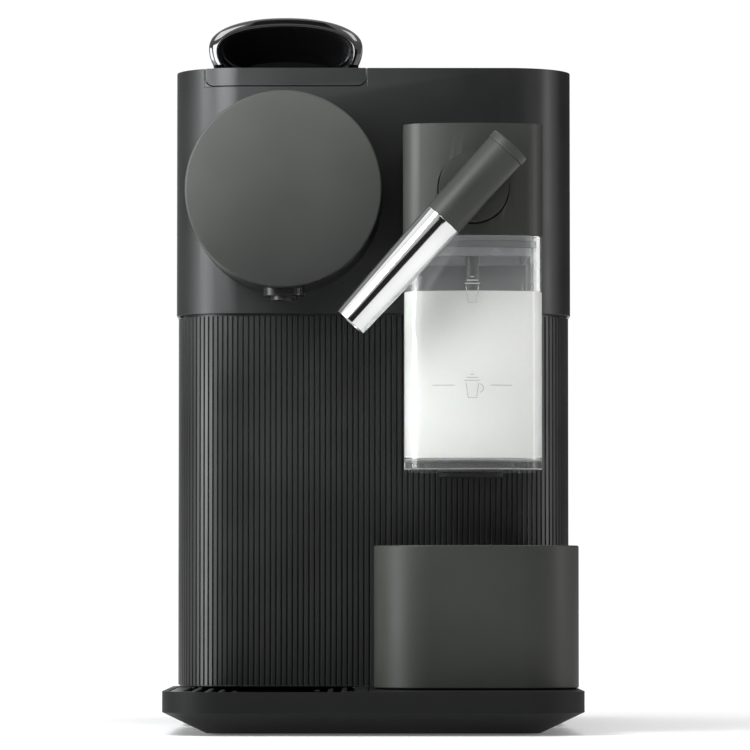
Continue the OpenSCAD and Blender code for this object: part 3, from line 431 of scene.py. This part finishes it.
def handle():
    """The lever's handle: a glossy visor with a rounded rim and a scoop for the fingertips."""
    lo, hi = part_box("lever_handle")
    mid, half, tall, deep = (lo.x + hi.x) / 2, (hi.x - lo.x) / 2, hi.z - lo.z, hi.y - lo.y
    rim, wall = 1.75 * MM, 3.5 * MM               # depth of the rim, thickness behind it
    foot_share, foot_in = 0.34, 1.6 * MM          # the foot's share of the arch's height, and its taper
    taper, back_tall = 3 * MM, 1.5 * MM           # narrowing towards the back, height left there
    lift, lift_deep = 1.2 * MM, 44 * MM           # how far the underside rises at the front, over what depth
    scoop_deep, scoop_tall = 30 * MM, 5.5 * MM    # depth of the scoop, and its height at the back
    steps = 14

    def arch(y, w, top, bottom):
        """Open ring from foot to foot over a half ellipse, which the powers below 1 make a little squarer."""
        foot = [(w - foot_in * (1 - i / 5) ** 2, foot_share * i / 5) for i in range(5)]
        crown = []
        for i in range(41):
            c, s = math.cos(math.pi * i / 40), math.sin(math.pi * i / 40)
            up = foot_share + (1 - foot_share) * abs(s) ** 0.86
            crown.append((-w * math.copysign(abs(c) ** 0.93, c), up))
        half_ring = [(-x, h) for x, h in foot] + crown + [(x, h) for x, h in reversed(foot)]
        return [(mid + x, y, bottom + (top - bottom) * h) for x, h in half_ring]

    def under(y):
        return lo.z + max(0.0, lift * (1 - (y - lo.y - rim) / lift_deep))

    outer, inner = [], []
    for i in range(steps + 1):
        t = 1 - i / steps
        y = lo.y + rim + (deep - rim) * t
        rise = max(0.0, math.cos(math.pi / 2 * t)) ** 0.55
        outer.append(arch(y, half - taper * t ** 3, lo.z + back_tall + (tall - back_tall) * rise, under(y)))
        y = lo.y + rim + scoop_deep * t
        ceiling = lo.z + tall - wall - (tall - wall - scoop_tall) * t ** 1.3
        inner.append(arch(y, (half - wall) * math.sqrt(1 - 0.62 * t ** 2), ceiling, under(y)))
    # rim: a gently crowned slope that faces forward and outward, as (inset, depth) in millimetres
    slope = ((0.12, 1.25), (0.45, 0.95), (1.2, 0.55), (2.0, 0.22), (2.8, 0.03), (3.2, 0.0), (3.42, 0.12),
             (3.5, 0.5), (3.5, 1.0))
    bead = [arch(lo.y + back * MM, half - inset * MM, hi.z - inset * MM, under(lo.y + back * MM))
            for inset, back in slope]
    bm = bmesh.new()
    rings = [[bm.verts.new(p) for p in ring] for ring in outer + bead + list(reversed(inner))]
    last = len(rings) - 1
    for a, b in zip(rings, rings[1:]):
        for k in range(len(a) - 1):
            bm.faces.new((a[k], a[k + 1], b[k + 1], b[k]))
    # the feet close the visor underneath, between its outer and inner skin
    for i in range(last // 2):
        for end in (0, -1):
            loop = [rings[i][end], rings[i + 1][end], rings[last - i - 1][end], rings[last - i][end]]
            bm.faces.new(loop if loop[1] is not loop[2] else [loop[0], loop[1], loop[3]])
    bm.faces.new(rings[0])
    bm.faces.new(list(reversed(rings[-1])))
    bm.faces.new((rings[0][0], rings[0][-1], rings[-1][-1], rings[-1][0]))
    bmesh.ops.remove_doubles(bm, verts=bm.verts, dist=1e-6)
    visor = add_piece("handle_visor", bm, M["gloss_black"], "lever", sharp=40)
    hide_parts("lever_handle")


handle()


def prism(name, loops, y_of, depth, mat, body):
    """Flat outlines in x and z, given depth along y from the front that y_of(x) gives."""
    bm = bmesh.new()
    for pts in loops:
        front = [bm.verts.new((x, y_of(x), z)) for x, z in pts]
        back = [bm.verts.new((x, y_of(x) + depth, z)) for x, z in pts]
        bm.faces.new(front)
        bm.faces.new(list(reversed(back)))
        skin(bm, front, back)
    add_piece(name, bm, mat, body)


def notch_trim():
    """Rounded corners of the notch under the lever's lip, and a lining in the gaps beside the plate."""
    plate_lo, plate_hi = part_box("lever_plate")
    casing_lo, casing_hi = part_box("upper_housing")
    gap, lip_r = 0.4 * MM, 3.8 * MM               # gap round the plate, radius of the notch's corners
    lip_z = casing_hi.z - 6.8 * MM                # underside of the lip
    floor_z, top_z = lip_z - gap, casing_hi.z - 0.2 * MM
    edge = casing_hi.x - CASING_CORNER
    fill, fill_deep = 0.33 * MM, 12 * MM          # width and depth of the lining
    corner_deep, set_back = 2.2 * MM, 0.3 * MM    # depth of the corners, lining's distance behind the front
    sides = ((plate_lo.x - gap, 1), (plate_hi.x + gap, -1))

    def casing_front(x):
        over = max(0.0, abs(x) - edge)
        return casing_lo.y + 0.01 * MM + CASING_CORNER - math.sqrt(CASING_CORNER ** 2 - over ** 2)

    def lining_front(x):
        return casing_front(x) + set_back

    turns = [math.radians(a) for a in range(0, 91, 10)]
    corners = []
    for x, s in sides:
        curve = [(x + s * (lip_r - lip_r * math.sin(a)), floor_z + lip_r - lip_r * math.cos(a))
                 for a in turns]
        corners.append([(x, floor_z)] + curve)
    prism("notch_corners", corners, casing_front, corner_deep, M["charcoal_plastic"], "machine")
    strips = [[(x, floor_z), (x + s * fill, floor_z), (x + s * fill, top_z), (x, top_z)] for x, s in sides]
    prism("lever_gap_strips", strips, lining_front, fill_deep, M["black_plastic"], "machine")


notch_trim()


def hub_gap():
    """A flat black ring at the bottom of the round gap between the spout's hub and the lid: painted shade
    that stands in for the shadow inside the gap.
    """
    lid_lo, lid_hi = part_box("milk_lid")
    hub_z, hub_r = lid_hi.z - 24.3 * MM, 13 * MM
    inside, outside = hub_r + 0.06 * MM, hub_r + 0.47 * MM
    front, back = lid_lo.y + 0.85 * MM, lid_lo.y + 1.15 * MM
    around = 96
    turns = [2 * math.pi * i / around for i in range(around)]
    bm = bmesh.new()
    rings = [[bm.verts.new((jug_x + r * math.cos(a), y, hub_z + r * math.sin(a))) for a in turns]
             for r, y in ((outside, front), (inside, front), (inside, back), (outside, back))]
    for a, b in zip(rings, rings[1:] + rings[:1]):
        skin(bm, a, b)
    add_piece("hub_gap_painted_shade", bm, M["painted_shade_black"], "milk_unit")


hub_gap()

# ---- floor ----
bpy.ops.mesh.primitive_plane_add(size=30, location=(0, 0, 0))
floor = bpy.context.object
floor.name = "floor"
floor_white = surface("floor", (0.86, 0.86, 0.86), 0.7, vary=0.005, spec=0.2, bump=0.0, wear=0.0)
floor.data.materials.append(floor_white)
floor_shader = floor_white.node_tree.nodes["Principled BSDF"]
floor_shader.inputs["Emission Color"].default_value = (1, 1, 1, 1)
floor_shader.inputs["Emission Strength"].default_value = 0.12
